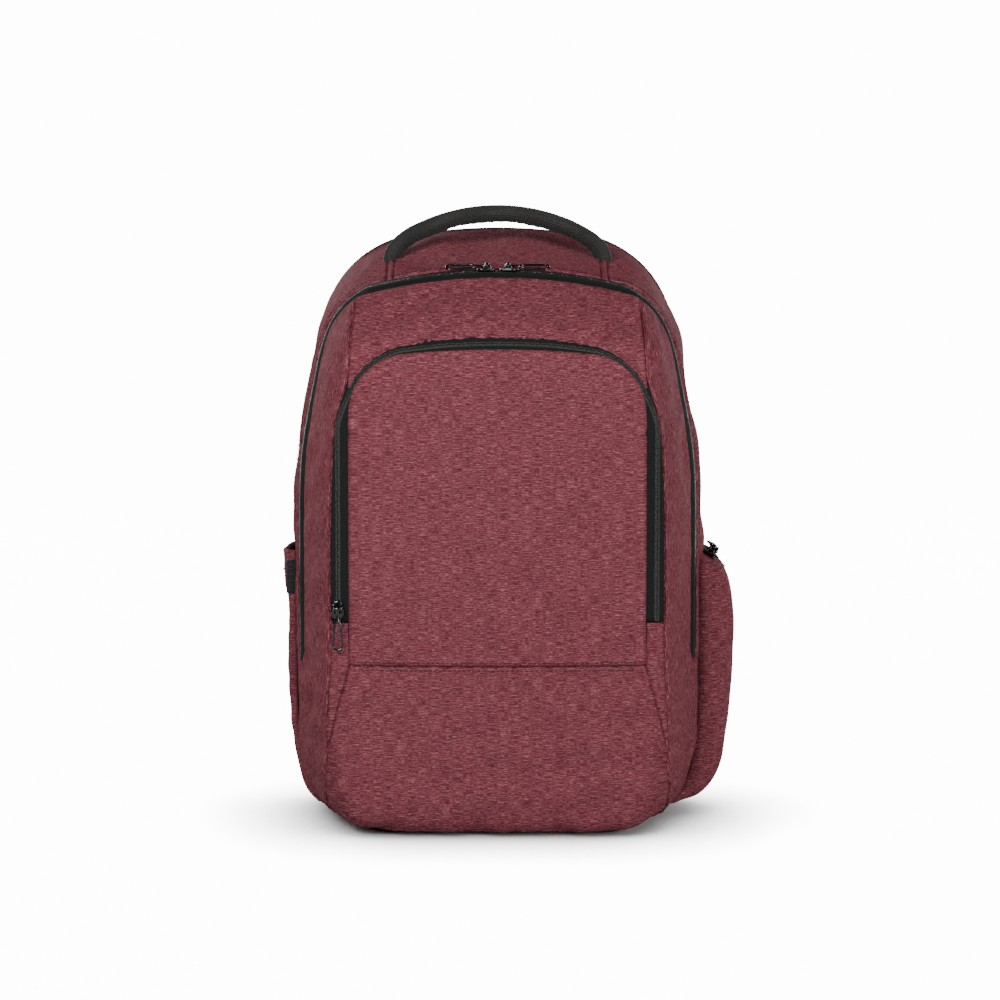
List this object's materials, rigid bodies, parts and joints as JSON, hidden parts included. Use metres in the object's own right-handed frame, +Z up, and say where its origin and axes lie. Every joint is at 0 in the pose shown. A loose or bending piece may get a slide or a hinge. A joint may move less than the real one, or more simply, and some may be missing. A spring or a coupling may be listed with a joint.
{
  "type": "travel backpack",
  "caption": "Laptop travel backpack in melange fabric, with a front flap, a fold-down front compartment, side pockets, a top handle and padded shoulder straps.",
  "frame": {"origin": "middle of the base panel's underside", "axes": "+Z up, front of the bag towards -Y, +X to the right seen from the front"},
  "size_m": [0.348, 0.2207, 0.4738],
  "materials": {
    "melange_fabric": "woven melange polyester",
    "black_padded": "padded black polyester",
    "back_mesh": "black spacer mesh over foam",
    "black_webbing": "ribbed black webbing",
    "zip_tape": "black zip tape and coil",
    "zip_metal": "gloss black",
    "black_plastic": "moulded black",
    "lining": "plain grey lining",
    "inner_core": "hidden",
    "base_fabric": "coated black base cloth"
  },
  "bodies": {
    "bag": {"base_panel": "base_fabric", "rear_gusset": "melange_fabric", "back_panel": "back_mesh", "back_stiffener": "inner_core", "rear_piping": "base_fabric", "lower_front_panel": "melange_fabric", "fold_gusset": "melange_fabric", "lower_divider": "lining", "laptop_sleeve": "lining", "laptop_strap": "black_webbing", "main_zip_tape_rear": "zip_tape", "main_zip_coil_rear": "zip_tape", "right_pocket": "melange_fabric", "right_pocket_tape": "zip_tape", "right_pocket_coil": "zip_tape", "left_pocket": "melange_fabric", "left_pocket_elastic": "base_fabric", "strap_yoke": "black_padded", "back_pad_left": "back_mesh", "back_pad_right": "back_mesh", "lumbar_pad": "back_mesh", "trolley_strap": "melange_fabric", "strap_tab_left": "black_webbing", "strap_tab_right": "black_webbing"},
    "lid": {"main_zip_tape_front": "zip_tape", "main_zip_coil_front": "zip_tape", "front_compartment": "melange_fabric", "front_divider": "lining", "organizer_pocket": "lining", "flap_zip_tape_outer": "zip_tape", "flap_zip_coil_outer": "zip_tape"},
    "flap": {"front_flap": "melange_fabric", "flap_zip_tape_inner": "zip_tape", "flap_zip_coil_inner": "zip_tape"},
    "main_slider_left": {"main_slider_left": "zip_metal"},
    "main_pull_left": {"main_pull_left": "zip_metal"},
    "main_slider_right": {"main_slider_right": "zip_metal"},
    "main_pull_right": {"main_pull_right": "zip_metal"},
    "flap_slider": {"flap_slider": "zip_metal"},
    "flap_pull": {"flap_pull": "zip_metal"},
    "pocket_slider": {"right_pocket_slider": "zip_metal"},
    "pocket_pull": {"right_pocket_pull": "zip_metal"},
    "handle": {"handle_webbing": "black_webbing", "handle_core": "inner_core"},
    "strap_left": {"shoulder_strap_left": "black_padded", "strap_webbing_left": "black_webbing"},
    "strap_right": {"shoulder_strap_right": "black_padded", "strap_webbing_right": "black_webbing"},
    "lock_left": {"ladder_lock_left": "black_plastic"},
    "lock_right": {"ladder_lock_right": "black_plastic"}
  },
  "joints": [
    {"name": "lid_open", "type": "hinge", "parent": "bag", "child": "lid", "pos_m": [0, -0.03, 0.125], "axis": [1, 0, 0], "range_deg": [0, 45], "deforming": ["fold_gusset"]},
    {"name": "flap_open", "type": "hinge", "parent": "lid", "child": "flap", "pos_m": [0, -0.0898, 0.182], "axis": [1, 0, 0], "range_deg": [0, 80]},
    {"name": "main_slider_left_run", "type": "hinge", "parent": "bag", "child": "main_slider_left", "pos_m": [0, -0.02, 0.022], "axis": [0, -1, 0], "range_deg": [0, 11]},
    {"name": "main_pull_left_swing", "type": "hinge", "parent": "main_slider_left", "child": "main_pull_left", "pos_m": [-0.008, -0.02027, 0.42669], "axis": [0, 0.9976, 0.0698], "range_deg": [0, 95]},
    {"name": "main_slider_right_run", "type": "hinge", "parent": "bag", "child": "main_slider_right", "pos_m": [0, -0.02, 0.022], "axis": [0, 1, 0], "range_deg": [0, 11]},
    {"name": "main_pull_right_swing", "type": "hinge", "parent": "main_slider_right", "child": "main_pull_right", "pos_m": [0.008, -0.02027, 0.42669], "axis": [0, -0.9976, -0.0698], "range_deg": [0, 95]},
    {"name": "flap_slider_run", "type": "slide", "parent": "lid", "child": "flap_slider", "axis": [0, 0, 1], "range_m": [0, 0.14]},
    {"name": "flap_pull_swing", "type": "hinge", "parent": "flap_slider", "child": "flap_pull", "pos_m": [-0.118, -0.0904, 0.174], "axis": [-1, 0, 0], "range_deg": [0, 80]},
    {"name": "pocket_slider_run", "type": "slide", "parent": "bag", "child": "pocket_slider", "axis": [0, 1, 0], "range_m": [0, 0.042]},
    {"name": "pocket_pull_swing", "type": "hinge", "parent": "pocket_slider", "child": "pocket_pull", "pos_m": [0.16777, 0.006, 0.20994], "axis": [0.891, 0, -0.454], "range_deg": [0, 95]},
    {"name": "handle_fold", "type": "hinge", "parent": "bag", "child": "handle", "pos_m": [0, 0.025, 0.44], "axis": [1, 0, 0], "range_deg": [-40, 40]},
    {"name": "strap_left_swing", "type": "hinge", "parent": "bag", "child": "strap_left", "pos_m": [0, 0.083, 0.43], "axis": [1, 0, 0], "range_deg": [0, 35], "deforming": ["strap_webbing_left"]},
    {"name": "strap_right_swing", "type": "hinge", "parent": "bag", "child": "strap_right", "pos_m": [0, 0.083, 0.43], "axis": [1, 0, 0], "range_deg": [0, 35], "deforming": ["strap_webbing_right"]},
    {"name": "lock_left_tilt", "type": "hinge", "parent": "strap_left", "child": "lock_left", "pos_m": [-0.098, 0.099, 0.144], "axis": [1, 0, 0], "range_deg": [0, 40]},
    {"name": "lock_right_tilt", "type": "hinge", "parent": "strap_right", "child": "lock_right", "pos_m": [0.098, 0.099, 0.144], "axis": [1, 0, 0], "range_deg": [0, 40]}
  ]
}
